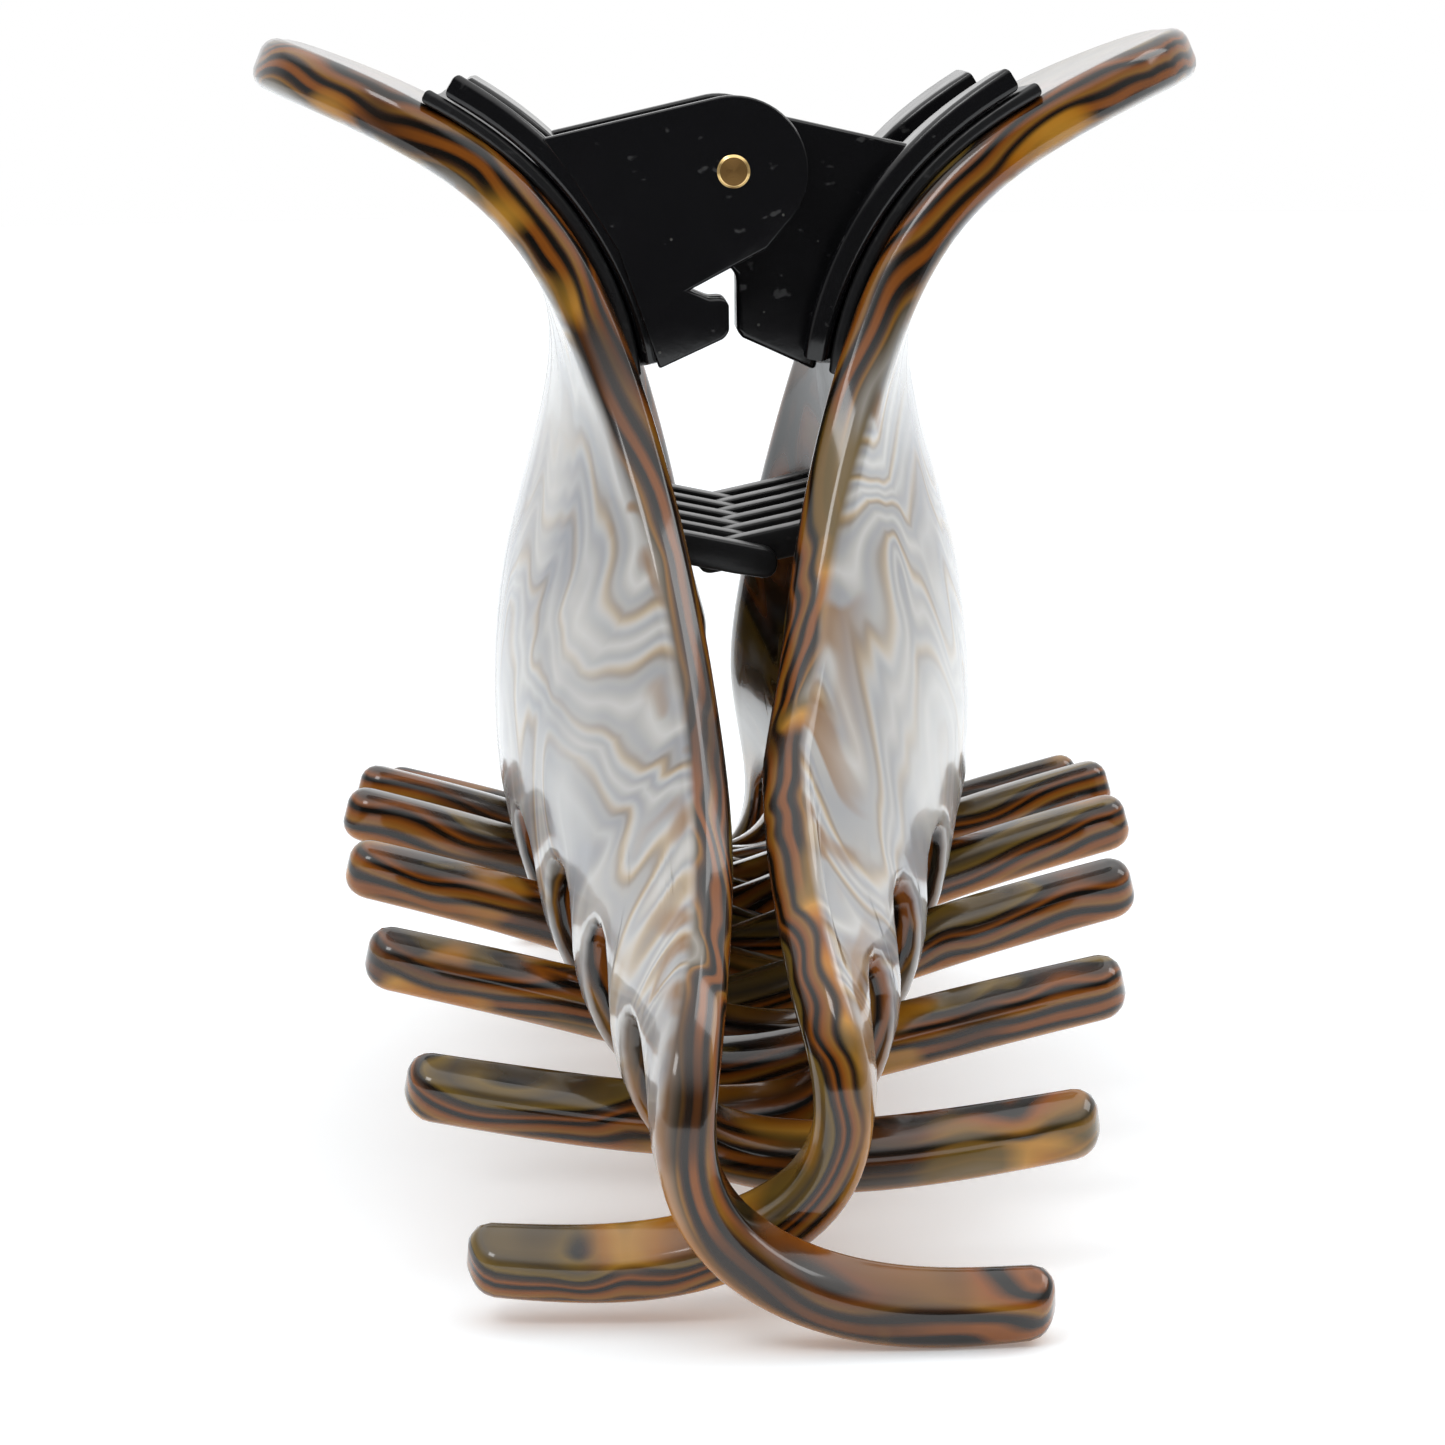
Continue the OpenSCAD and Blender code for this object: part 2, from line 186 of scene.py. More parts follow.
def rounded_sheet(s, y, quads, off, thickness, radius):
    """Skins on both sides of a sheet, joined by a rolled edge. Returns points, faces, depth."""
    core, normal = sheet_point(s, y), sheet_normal(s, y)
    core = core + off * normal
    count, half = len(core), thickness / 2
    inner, outer = core + half * normal, core - half * normal
    points, depth = [inner, outer], [np.zeros(count), np.ones(count)]
    faces = list(quads) + [tuple(i + count for i in reversed(q)) for q in quads]
    for loop in border(quads):
        p, n = core[loop], normal[loop]
        t = np.roll(p, -1, 0) - np.roll(p, 1, 0)
        outward = np.cross(t, n)
        outward /= np.linalg.norm(outward, axis=1, keepdims=True)
        base = sum(len(block) for block in points)
        rings = [np.array(loop)]
        for m, a in enumerate(math.radians(v) for v in roll_angles):
            flat = (half - radius) * (1 if m < len(roll_angles) // 2 else -1)
            rise = flat + radius * math.cos(a)
            points.append(p + radius * math.sin(a) * outward + rise * n)
            depth.append(np.full(len(loop), 0.5 - 0.5 * rise / half))
            rings.append(base + m * len(loop) + np.arange(len(loop)))
        rings.append(np.array(loop) + count)
        for upper, lower in zip(rings, rings[1:]):
            for a in range(len(loop)):
                b = (a + 1) % len(loop)
                faces.append((upper[b], upper[a], lower[a], lower[b]))
    points = np.vstack(points)
    points[:, 2] -= ground
    return points, [tuple(int(i) for i in f) for f in faces], np.concatenate(depth)


def piece_from(name, points, faces, turned=False, **fields):
    """A smooth-shaded mesh object from points in millimetres, with a value per point and field."""
    points = np.array(points, float) * MM
    if turned:
        points[:, :2] *= -1
    mesh = bpy.data.meshes.new(name)
    mesh.from_pydata([tuple(p) for p in points], [], faces)
    mesh.polygons.foreach_set("use_smooth", [True] * len(mesh.polygons))
    for label, values in fields.items():
        mesh.attributes.new(label, "FLOAT", "POINT").data.foreach_set("value", values)
    mesh.validate()
    mesh.update()
    made = bpy.data.objects.new(name, mesh)
    bpy.context.scene.collection.objects.link(made)
    return made


def jaw_grid():
    """Lines s, y of a jaw's sheet, kept back from its border by the rolled edge's radius."""
    body_rows, finger_rows, tip_rows, slot_cells = 72, 30, 4, 8
    inset_w = finger_w / 2 - edge_round
    slot_r = (finger_pitch - finger_w) / 2 + edge_round
    corner = handle_corner - edge_round
    top_s = edge_round / step_length
    end_s = spans - edge_round / tip_step_length
    tip_part = tip_round / finger_length
    lane = [-1, 0, 1]
    c, arc = [], []
    for k in range(finger_count):
        middle = -half_length + finger_w / 2 + k * finger_pitch
        for side in lane:
            c.append(middle + side * inset_w)
            arc.append(0)
        if k < finger_count - 1:
            for m in range(1, slot_cells):
                turn = math.pi * m / slot_cells
                c.append(middle + inset_w + slot_r * (1 - math.cos(turn)))
                arc.append(math.sin(turn))
    c, arc = np.array(c), np.array(arc)
    inner_half, inner_short = half_length - edge_round, half_length - finger_step - edge_round
    root_line = slot_root_mid + (slot_root_end - slot_root_mid) * (c / half_length) ** 2
    root = root_line - arc * slot_r / step_length
    grow = (np.arange(body_rows + 1) / body_rows)[:, None] ** 1.25
    s = top_s + (root - top_s)[None, :] * grow
    cut = np.minimum((s - top_s) * corner_step_length, corner)
    inset = corner - np.sqrt(corner ** 2 - (corner - cut) ** 2) + edge_round
    spread = np.where(c < 0, (half_at(s) - inset) / inner_half,
                      (half_at(s) - inset - step_at(s)) / inner_short)
    k = smooth(0.65, 1, s / root_line) * (1 - (c / half_length) ** 4)
    y = c * (spread * (1 - k) + k)
    all_s, all_y = [s.ravel()], [y.ravel()]
    columns = len(c)
    quads = [(i * columns + j, (i + 1) * columns + j, (i + 1) * columns + j + 1,
              i * columns + j + 1) for i in range(body_rows) for j in range(columns - 1)]
    spare = (body_rows + 1) * columns
    for k in range(finger_count):
        first = k * (len(lane) + slot_cells - 1)
        middle = c[first + 1]
        root_k = root[first:first + 3]
        rows = [body_rows * columns + first + np.arange(3)]
        for q in range(1, finger_rows + tip_rows + 1):
            if q <= finger_rows:
                f, squeeze = q / finger_rows * (1 - tip_part), 0
            else:
                turn = math.pi / 2 * (q - finger_rows) / tip_rows
                f = 1 - tip_part * (1 - math.sin(turn))
                squeeze = tip_round * (1 - math.cos(turn))
            half = inset_w - finger_taper * f * f - squeeze
            all_s.append(root_k + (end_s - root_k) * f)
            all_y.append(middle + half * np.array(lane))
            rows.append(spare + np.arange(3))
            spare += 3
        for a, b in zip(rows, rows[1:]):
            quads += [(a[m], b[m], b[m + 1], a[m + 1]) for m in range(2)]
    return np.concatenate(all_s), np.concatenate(all_y), [tuple(map(int, q)) for q in quads]


jaw_s, jaw_y, jaw_quads = jaw_grid()
jaw_points, jaw_faces, jaw_depth = rounded_sheet(jaw_s, jaw_y, jaw_quads, 0, sheet_t, edge_round)
jaw_loop = np.concatenate(border(jaw_quads))


def on_all_rings(values):
    """Values of the sheet's grid, carried to both skins and to every ring of its rolled edge."""
    return np.concatenate([values, values, np.tile(values[jaw_loop], len(roll_angles))])


jaw_fields = {"depth": jaw_depth, "reach": on_all_rings(jaw_s),
              "rim": on_all_rings(np.abs(jaw_y) / reach_at(jaw_s, jaw_y))}
left_jaw = piece_from("left_jaw_acetate", jaw_points, jaw_faces, False, **jaw_fields)
right_jaw = piece_from("right_jaw_acetate", jaw_points, jaw_faces, True, **jaw_fields)


def sockets(tree, inputs, outputs):
    for direction, wanted in (("INPUT", inputs), ("OUTPUT", outputs)):
        for name, kind in wanted:
            tree.interface.new_socket(name=name, in_out=direction, socket_type=kind)
    return tree.nodes.new("NodeGroupInput"), tree.nodes.new("NodeGroupOutput")


def maths(tree, operation, a, b=None, c=None):
    node = tree.nodes.new("ShaderNodeMath")
    node.operation = operation
    for slot, value in zip(node.inputs, (a, b, c)):
        if isinstance(value, (int, float)):
            slot.default_value = value
        elif value is not None:
            tree.links.new(value, slot)
    return node.outputs[0]


def noise(tree, vector, scale, detail=2.0, rough=0.5, distortion=0.0):
    node = tree.nodes.new("ShaderNodeTexNoise")
    node.inputs["Scale"].default_value = scale
    node.inputs["Detail"].default_value = detail
    node.inputs["Roughness"].default_value = rough
    node.inputs["Distortion"].default_value = distortion
    tree.links.new(vector, node.inputs["Vector"])
    return node.outputs["Fac"]


def ramp(tree, fac, stops, ease="LINEAR"):
    node = tree.nodes.new("ShaderNodeValToRGB")
    node.color_ramp.interpolation = ease
    elements = node.color_ramp.elements
    while len(elements) > 1:
        elements.remove(elements[-1])
    elements[0].position, elements[0].color = stops[0][0], (*stops[0][1], 1)
    for place, colour in stops[1:]:
        elements.new(place).color = (*colour, 1)
    tree.links.new(fac, node.inputs["Fac"])
    return node.outputs["Color"]


def blend_colour(tree, fac, base, other):
    node = tree.nodes.new("ShaderNodeMix")
    node.data_type = "RGBA"
    tree.links.new(fac, node.inputs["Factor"])
    for socket, value in ((node.inputs[6], base), (node.inputs[7], other)):
        if isinstance(value, tuple):
            socket.default_value = (*value, 1)
        else:
            tree.links.new(value, socket)
    return node.outputs[2]


# Colours of the blank's dark layers, of its warm patches and of its pearl outer face.
black, umber_black, umber = (0.006, 0.005, 0.004), (0.020, 0.012, 0.008), (0.050, 0.021, 0.009)
russet, bronze, olive = (0.24, 0.070, 0.008), (0.26, 0.115, 0.016), (0.17, 0.105, 0.020)
smoke, slate = (0.085, 0.062, 0.034), (0.20, 0.175, 0.14)
amber, gold, honey = (0.47, 0.17, 0.006), (0.60, 0.29, 0.035), (0.50, 0.33, 0.13)
pearl, milk = (0.42, 0.40, 0.37), (0.62, 0.61, 0.59)
mist, tan = (0.27, 0.285, 0.32), (0.13, 0.08, 0.045)
# Layers from the blank's inner side outwards, and one cycle of the outer face's chevrons.
layers = [(0.00, smoke), (0.06, olive), (0.085, black), (0.12, umber), (0.15, russet),
          (0.175, black), (0.195, black), (0.23, russet), (0.27, bronze), (0.295, umber),
          (0.31, black), (0.335, black), (0.37, russet), (0.405, russet), (0.43, black),
          (0.455, black), (0.48, umber), (0.51, bronze), (0.53, smoke), (0.57, slate),
          (0.64, pearl)]
veils = [(0.00, milk), (0.14, pearl), (0.28, mist), (0.40, pearl), (0.49, tan), (0.60, honey),
         (0.70, milk), (0.80, mist), (0.90, pearl), (1.0, milk)]


def eased(tree, value, start, stop, low=0.0, high=1.0):
    node = tree.nodes.new("ShaderNodeMapRange")
    node.interpolation_type = "SMOOTHSTEP"
    for label, number in (("From Min", start), ("From Max", stop), ("To Min", low), ("To Max", high)):
        node.inputs[label].default_value = number
    tree.links.new(value, node.inputs["Value"])
    return node.outputs["Result"]


def build_lamination():
    """Layers seen where the sheet's edges and faces cut through them, as streaks and chevrons.

    Noise scales are in cells per metre. Depth runs from 0 on the inner skin to 1 on the outer.
    """
    tree = bpy.data.node_groups.new("acetate_layers", "ShaderNodeTree")
    into, out = sockets(tree, [("Depth", "NodeSocketFloat"), ("Reach", "NodeSocketFloat"),
                               ("Rim", "NodeSocketFloat"), ("Place", "NodeSocketVector")],
                        [("Color", "NodeSocketColor")])
    place, depth, rim = (into.outputs[label] for label in ("Place", "Depth", "Rim"))
    split = tree.nodes.new("ShaderNodeSeparateXYZ")
    tree.links.new(place, split.inputs[0])
    drawn = tree.nodes.new("ShaderNodeMapping")
    drawn.inputs["Scale"].default_value = (0.55, 1, 0.5)
    tree.links.new(place, drawn.inputs["Vector"])
    broad = noise(tree, place, 52, 1.0, 0.4, 0.3)
    streaks = noise(tree, drawn.outputs["Vector"], 120, 1.0, 0.45, 1.2)
    on_finger = eased(tree, into.outputs["Reach"], 4.3, 5.6)
    on_body = maths(tree, "SUBTRACT", 1, on_finger)

    # Dark layers, which wander so that they cross an edge at a slant.
    level = maths(tree, "MULTIPLY_ADD", depth, 0.42, 0.11)
    level = maths(tree, "MULTIPLY_ADD", on_finger, -0.03, level)
    for wander, size in ((broad, 0.62), (streaks, 0.5)):
        offset = maths(tree, "SUBTRACT", wander, 0.5)
        level = maths(tree, "ADD", level, maths(tree, "MULTIPLY", offset, size))
    smoky = eased(tree, noise(tree, place, 75, 1.0, 0.5, 0.8), 0.50, 0.66, 0.0, 0.75)
    banded = ramp(tree, maths(tree, "PINGPONG", level, 0.6), layers)
    banded = blend_colour(tree, smoky, banded, umber_black)

    # Golden patches on the upper arms and fingers, and a painted amber glow along the fingers'
    # undersides in place of light shining through the acetate.
    patch = eased(tree, noise(tree, place, 95, 0.5, 0.4, 1.0), 0.54, 0.66, 0.0, 0.85)
    upper = maths(tree, "MAXIMUM", eased(tree, split.outputs["Z"], 0.038, 0.052), on_finger)
    beyond_line = eased(tree, level, 0.31, 0.37)
    on_top = maths(tree, "MULTIPLY", eased(tree, depth, 0.0, 0.25, 0.8, 0.0), on_finger)
    glow = maths(tree, "MULTIPLY", maths(tree, "MULTIPLY", patch, upper),
                 maths(tree, "MAXIMUM", beyond_line, on_top))
    golden = ramp(tree, streaks, [(0.36, russet), (0.43, amber), (0.52, gold), (0.62, olive)])
    # Painted glow: amber base colour on the fingers' undersides stands in for light passing through the
    # sheet.
    painted_underglow = maths(tree, "MULTIPLY", eased(tree, depth, 0.70, 0.98, 0.0, 0.8), on_finger)
    edge_colour = blend_colour(tree, painted_underglow, blend_colour(tree, glow, banded, golden), amber)

    # Pearl chevrons, washed out in places and stained brown towards the jaw's ends.
    tilt = maths(tree, "MULTIPLY_ADD", split.outputs["Y"], 85, maths(tree, "MULTIPLY", broad, 3))
    zigzag = maths(tree, "PINGPONG", tilt, 0.5)
    climb = maths(tree, "MULTIPLY_ADD", split.outputs["Z"], 150, maths(tree, "MULTIPLY", broad, 7))
    climb = maths(tree, "MULTIPLY_ADD", streaks, 2.6, climb)
    phase = maths(tree, "MULTIPLY_ADD", zigzag, 1.1, climb)
    veil = ramp(tree, maths(tree, "PINGPONG", phase, 1.0), veils, "B_SPLINE")
    calm = maths(tree, "MULTIPLY", eased(tree, noise(tree, place, 70, 0.5), 0.28, 0.56, 0.35, 0.95),
                 eased(tree, rim, 0.45, 1.0, 1.0, 0.25))
    washed = blend_colour(tree, calm, veil, ramp(tree, streaks, [(0.35, mist), (0.6, milk)]))
    stain = maths(tree, "MULTIPLY", eased(tree, rim, 0.80, 1.0),
                  eased(tree, noise(tree, place, 130, 1.0, 0.5, 1.5), 0.48, 0.62, 0.0, 0.8))
    face_colour = blend_colour(tree, stain, washed, bronze)
    rind = maths(tree, "MULTIPLY", eased(tree, depth, 0.86, 1.0), on_body)
    tree.links.new(blend_colour(tree, rind, edge_colour, face_colour), out.inputs["Color"])
    return tree


acetate_layers = build_lamination()


def new_material(name):
    material = bpy.data.materials.new(name)
    material.use_nodes = True
    tree = material.node_tree
    tree.nodes.clear()
    shader = tree.nodes.new("ShaderNodeBsdfPrincipled")
    output = tree.nodes.new("ShaderNodeOutputMaterial")
    tree.links.new(shader.outputs[0], output.inputs["Surface"])
    return material, tree, shader


def at_rest_place(tree, shift=(0, 0, 0)):
    """Object coordinates, shifted so that like pieces don't share a pattern."""
    coordinates = tree.nodes.new("ShaderNodeTexCoord")
    mapping = tree.nodes.new("ShaderNodeMapping")
    mapping.inputs["Location"].default_value = shift
    tree.links.new(coordinates.outputs["Object"], mapping.inputs["Vector"])
    return mapping.outputs["Vector"]


def bump(tree, shader, height, strength, distance):
    node = tree.nodes.new("ShaderNodeBump")
    node.inputs["Strength"].default_value = strength
    node.inputs["Distance"].default_value = distance
    tree.links.new(height, node.inputs["Height"])
    tree.links.new(node.outputs["Normal"], shader.inputs["Normal"])


def marbled_acetate(name, shift):
    """Glossy acetate whose layers follow the depth, reach and rim values of the jaw's mesh."""
    material, tree, shader = new_material(name)
    place = at_rest_place(tree, shift)
    group = tree.nodes.new("ShaderNodeGroup")
    group.node_tree = acetate_layers
    tree.links.new(place, group.inputs["Place"])
    for label, socket in (("depth", "Depth"), ("reach", "Reach"), ("rim", "Rim")):
        attribute = tree.nodes.new("ShaderNodeAttribute")
        attribute.attribute_name = label
        tree.links.new(attribute.outputs["Fac"], group.inputs[socket])
    tree.links.new(group.outputs["Color"], shader.inputs["Base Color"])
    dull = maths(tree, "MULTIPLY_ADD", noise(tree, place, 900, 3), 0.08, 0.09)
    tree.links.new(dull, shader.inputs["Roughness"])
    shader.inputs["IOR"].default_value = 1.5
    shader.inputs["Coat Weight"].default_value = 0.25
    shader.inputs["Coat Roughness"].default_value = 0.04
    shader.inputs["Subsurface Weight"].default_value = 0.05
    shader.inputs["Subsurface Radius"].default_value = (1.0, 0.45, 0.2)
    shader.inputs["Subsurface Scale"].default_value = 1.2 * MM
    bump(tree, shader, noise(tree, place, 260, 1), 0.25, 0.15 * MM)
    return material


left_jaw.data.materials.append(marbled_acetate("acetate_left", (0.013, 0.021, 0.004)))
right_jaw.data.materials.append(marbled_acetate("acetate_right", (0.137, 0.052, 0.081)))
for jaw, side in ((left_jaw, "left"), (right_jaw, "right")):
    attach(jaw, side + "_half")
    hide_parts(side + "_jaw")


# ---- hinge brackets ------------------------------------------------------------------
# Two black mouldings with curved plates glued inside the jaws. The left one's ears stand
# outside the right one's, and the hook at its near end stops the jaws from closing too far.

pin_z = 56.8
bracket_half, ear_t, ear_gap = 15.0, 2.0, 0.3
inner_ear_y = bracket_half - ear_t - ear_gap
plate_t, strip_t, plate_gap = 1.4, 0.8, 0.1
wing_tip_s, wing_root_s, plate_end_s, wing_w = 0.72, 1.15, 2.12, 7.0
plate_round = 0.4


def masked_sheet(s_lines, y_lines, keep, off, thickness, radius):
    """A rolled-edge sheet on a grid of lines, with only the cells where keep(s, y) is true."""
    s, y = np.meshgrid(s_lines, y_lines, indexing="ij")
    rows, columns = s.shape
    cells = [(i, j) for i in range(rows - 1) for j in range(columns - 1)
             if keep((s_lines[i] + s_lines[i + 1]) / 2, (y_lines[j] + y_lines[j + 1]) / 2)]
    raw = [(i * columns + j, (i + 1) * columns + j, (i + 1) * columns + j + 1,
            i * columns + j + 1) for i, j in cells]
    used = sorted({v for q in raw for v in q})
    place = {v: n for n, v in enumerate(used)}
    quads = [tuple(place[v] for v in q) for q in raw]
    points, faces, _ = rounded_sheet(s.ravel()[used], y.ravel()[used], quads, off,
                                     thickness, radius)
    return points, faces


def arc(centre, radius, start, stop, steps):
    """Points of an arc in X and Z, angles in degrees."""
    turns = (math.radians(start + (stop - start) * n / steps) for n in range(steps + 1))
    return [(centre[0] + radius * math.cos(a), centre[1] + radius * math.sin(a)) for a in turns]


def moulded_block(outline, y0, y1, radius, segments=3):
    """An outline in X and Z, extruded along Y with all its sharp edges rounded."""
    block = bmesh.new()
    near = [block.verts.new((x, y0, z)) for x, z in outline]
    far = [block.verts.new((x, y1, z)) for x, z in outline]
    block.faces.new(near)
    block.faces.new(list(reversed(far)))
    for a in range(len(near)):
        b = (a + 1) % len(near)
        block.faces.new((near[b], near[a], far[a], far[b]))
    bmesh.ops.recalc_face_normals(block, faces=block.faces)
    sharp = [e for e in block.edges if e.calc_face_angle(0) > math.radians(24)]
    bmesh.ops.bevel(block, geom=sharp, offset=radius, segments=segments, profile=0.5,
                    affect="EDGES", clamp_overlap=True)
    block.verts.index_update()
    points = np.array([tuple(v.co) for v in block.verts])
    faces = [tuple(v.index for v in f.verts) for f in block.faces]
    block.free()
    return points, faces


def joined(parts):
    points, faces = [], []
    for part_points, part_faces in parts:
        base = sum(len(p) for p in points)
        points.append(part_points)
        faces += [tuple(i + base for i in f) for f in part_faces]
    return np.vstack(points), faces


def turned_round(part):
    points, faces = part
    return points * np.array([-1, -1, 1]), faces


def sharpen(piece, degrees=28):
    """Smooth shading that still breaks at the edges between flat faces."""
    mesh = piece.data
    work = bmesh.new()
    work.from_mesh(mesh)
    for edge in work.edges:
        edge.smooth = edge.calc_face_angle(0) < math.radians(degrees)
    work.to_mesh(mesh)
    work.free()


back = plate_round / step_length
plate_s = np.concatenate([np.linspace(wing_tip_s + back, wing_root_s + back, 7),
                          np.linspace(wing_root_s + back, plate_end_s - back, 22)[1:]])
wing_in = bracket_half - wing_w + plate_round
outer_y = bracket_half - plate_round
plate_y = np.concatenate([np.linspace(-outer_y, -wing_in, 6), np.linspace(-wing_in, wing_in, 12)[1:-1],
                          np.linspace(wing_in, outer_y, 6)])
plate_off = sheet_t / 2 + strip_t + plate_gap + plate_t / 2
plate = masked_sheet(plate_s, plate_y, lambda s, y: s > wing_root_s + back or abs(y) > wing_in,
                     plate_off, plate_t, plate_round)

left_ear_top = [(-10.4, pin_z + 1.9)]
left_nose = arc((0, pin_z), 4.1, 100, -46, 26)
left_ear_back = [(-5.3, 49.6), (-6.4, 52.6), (-8.6, 56.2)]
left_notch = [(1.8, 52.6), (-0.38, 51.47), (-2.52, 50.36)]
left_hook = [(-1.4, 49.9), (-0.75, 49.93), (-0.45, 49.78), (-0.33, 49.5), (-0.33, 48.2),
             (-0.45, 47.9), (-0.7, 47.68), (-4.2, 46.1), (-5, 48.5)]
left_ear = left_ear_top + left_nose + left_notch
hook_outline = [left_notch[-1]] + left_hook + [(-5.5, 50.6)]
right_ear_top = [(9.9, pin_z + 1.3)]
right_nose = arc((0, pin_z), 3.5, 77, 215, 26)
right_ear_back = [(5.4, 49.8), (6.4, 52.6), (8.7, 56.2)]
right_block = [(0.16, 48.1), (0.25, 47.8), (0.5, 47.6), (4.5, 45.75), (5, 48.5)]
right_ear = right_ear_top + right_nose + [(-0.38, 51.7), (0.16, 51.1)]
block_outline = [(0.16, 51.1)] + right_block + [(5.8, 51.4), (3, 52.5)]
ear_round = 0.3
hook_depth, block_depth = 5.2, 4.8

left_bracket = piece_from("left_bracket_moulding", *joined([
    plate,
    moulded_block(left_ear + left_hook + left_ear_back[1:], -bracket_half,
                  -bracket_half + ear_t, ear_round),
    moulded_block(hook_outline, -bracket_half + ear_t / 2, -bracket_half + hook_depth, ear_round),
    moulded_block(left_ear + left_ear_back, bracket_half - ear_t, bracket_half, ear_round)]))
right_bracket = piece_from("right_bracket_moulding", *joined([
    turned_round(plate),
    moulded_block(right_ear + right_block + right_ear_back[1:], -inner_ear_y,
                  -inner_ear_y + ear_t, ear_round),
    moulded_block(block_outline, -inner_ear_y + ear_t / 2, -inner_ear_y + block_depth, ear_round),
    moulded_block(right_ear + right_ear_back, inner_ear_y - ear_t, inner_ear_y, ear_round)]))


def build_scuffs():
    """Fine hairline scratches and settled dust, as masks from 0 to 1."""
    tree = bpy.data.node_groups.new("scuffs", "ShaderNodeTree")
    into, out = sockets(tree, [("Place", "NodeSocketVector"), ("Amount", "NodeSocketFloat")],
                        [("Scratches", "NodeSocketFloat"), ("Dust", "NodeSocketFloat")])
    stretch = tree.nodes.new("ShaderNodeMapping")
    stretch.inputs["Rotation"].default_value = (0.4, 0.6, 0.3)
    stretch.inputs["Scale"].default_value = (1, 9, 1.5)
    tree.links.new(into.outputs["Place"], stretch.inputs["Vector"])
    lines = noise(tree, stretch.outputs["Vector"], 700, 2, 0.6)
    line_mask = maths(tree, "MULTIPLY", maths(tree, "SUBTRACT", lines, 0.66), 14)
    specks = tree.nodes.new("ShaderNodeTexVoronoi")
    specks.inputs["Scale"].default_value = 620
    tree.links.new(into.outputs["Place"], specks.inputs["Vector"])
    speck = maths(tree, "LESS_THAN", specks.outputs["Distance"], 0.05)
    patch = maths(tree, "GREATER_THAN", noise(tree, into.outputs["Place"], 210, 1), 0.56)
    dust = maths(tree, "MULTIPLY", speck, patch)
    for value, name in ((line_mask, "Scratches"), (dust, "Dust")):
        scaled = maths(tree, "MULTIPLY", maths(tree, "MINIMUM", maths(tree, "MAXIMUM", value, 0), 1),
                       into.outputs["Amount"])
        tree.links.new(scaled, out.inputs[name])
    return tree


scuffs = build_scuffs()


def scuffed(tree, place, amount):
    node = tree.nodes.new("ShaderNodeGroup")
    node.node_tree = scuffs
    node.inputs["Amount"].default_value = amount
    tree.links.new(place, node.inputs["Place"])
    return node


def black_moulding(name, colour, gloss, grain, amount):
    material, tree, shader = new_material(name)
    place = at_rest_place(tree)
    marks = scuffed(tree, place, amount)
    dusted = blend_colour(tree, marks.outputs["Dust"], colour, (0.10, 0.10, 0.09))
    tree.links.new(blend_colour(tree, marks.outputs["Scratches"], dusted, (0.05, 0.05, 0.05)),
                   shader.inputs["Base Color"])
    mottle = maths(tree, "MULTIPLY_ADD", noise(tree, place, 500, 3), 0.16, gloss)
    tree.links.new(maths(tree, "MULTIPLY_ADD", marks.outputs["Scratches"], 0.25, mottle),
                   shader.inputs["Roughness"])
    shader.inputs["IOR"].default_value = 1.5
    bump(tree, shader, noise(tree, place, 1800, 2), grain, 0.03 * MM)
    return material


bracket_black = black_moulding("bracket_black", (0.006, 0.006, 0.007), 0.09, 0.2, 0.8)
for bracket, side in ((left_bracket, "left"), (right_bracket, "right")):
    sharpen(bracket)
    bracket.data.materials.append(bracket_black)
    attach(bracket, side + "_half")
    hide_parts(side + "_hinge_bracket")


# ---- grip combs ----------------------------------------------------------------------
# A thin black strip lies between plate and jaw and runs on down to a row of soft teeth,
# which interleave with the other jaw's teeth and grip thin bunches of hair.

comb_z = 36.1
tooth_root_x, tooth_bend_x = -9.9, -3.2
comb_teeth, comb_pitch, comb_tooth_w = 6, 5.0, 1.9
strip_neck_s, strip_end_s, neck_half = 2.16, 3.0, 11.5
strip_round, strip_side_gap, strip_lead_s = 0.3, 0.3, 0.06
comb_start = -(comb_teeth - 1) * comb_pitch / 2 - comb_pitch / 4 - comb_tooth_w / 2

strip_back = strip_round / step_length
strip_half = bracket_half - strip_side_gap - strip_round
strip_tip_s = wing_tip_s - strip_lead_s + strip_back
strip_s = np.concatenate([np.linspace(strip_tip_s, strip_neck_s - strip_back, 26),
                          np.linspace(strip_neck_s - strip_back, strip_end_s - strip_back, 14)[1:]])
neck_y = neck_half - strip_round
strip_y = np.concatenate([[-strip_half, -strip_half / 2 - neck_y / 2], np.linspace(-neck_y, neck_y, 16),
                          [strip_half / 2 + neck_y / 2, strip_half]])
strip = masked_sheet(strip_s, strip_y, lambda s, y: s < strip_neck_s - strip_back or abs(y) < neck_y,
                     sheet_t / 2 + strip_t / 2, strip_t, strip_round)


def comb_tooth(y):
    """A tooth that slopes down across the middle of the clip, rooted in the left jaw."""
    face = off_sheet(np.array([2.95]), np.array([y + comb_tooth_w / 2]), sheet_t / 2)[0]
    root_x = max(face[0] - 1.2, tooth_root_x)
    far = (root_x - tooth_bend_x) / (tooth_root_x - tooth_bend_x)
    outline = ([(root_x, comb_z + 1 + 1.7 * far), (tooth_bend_x, comb_z + 1), (1.3, comb_z + 0.05)]
               + arc((1.35, comb_z - 0.85), 0.88, 80, -75, 7)
               + [(-0.2, comb_z - 1.4), (root_x, comb_z - 1.4 + 2.0 * (root_x + 0.2) / -9.7)])
    return moulded_block(outline, y, y + comb_tooth_w, 0.22)


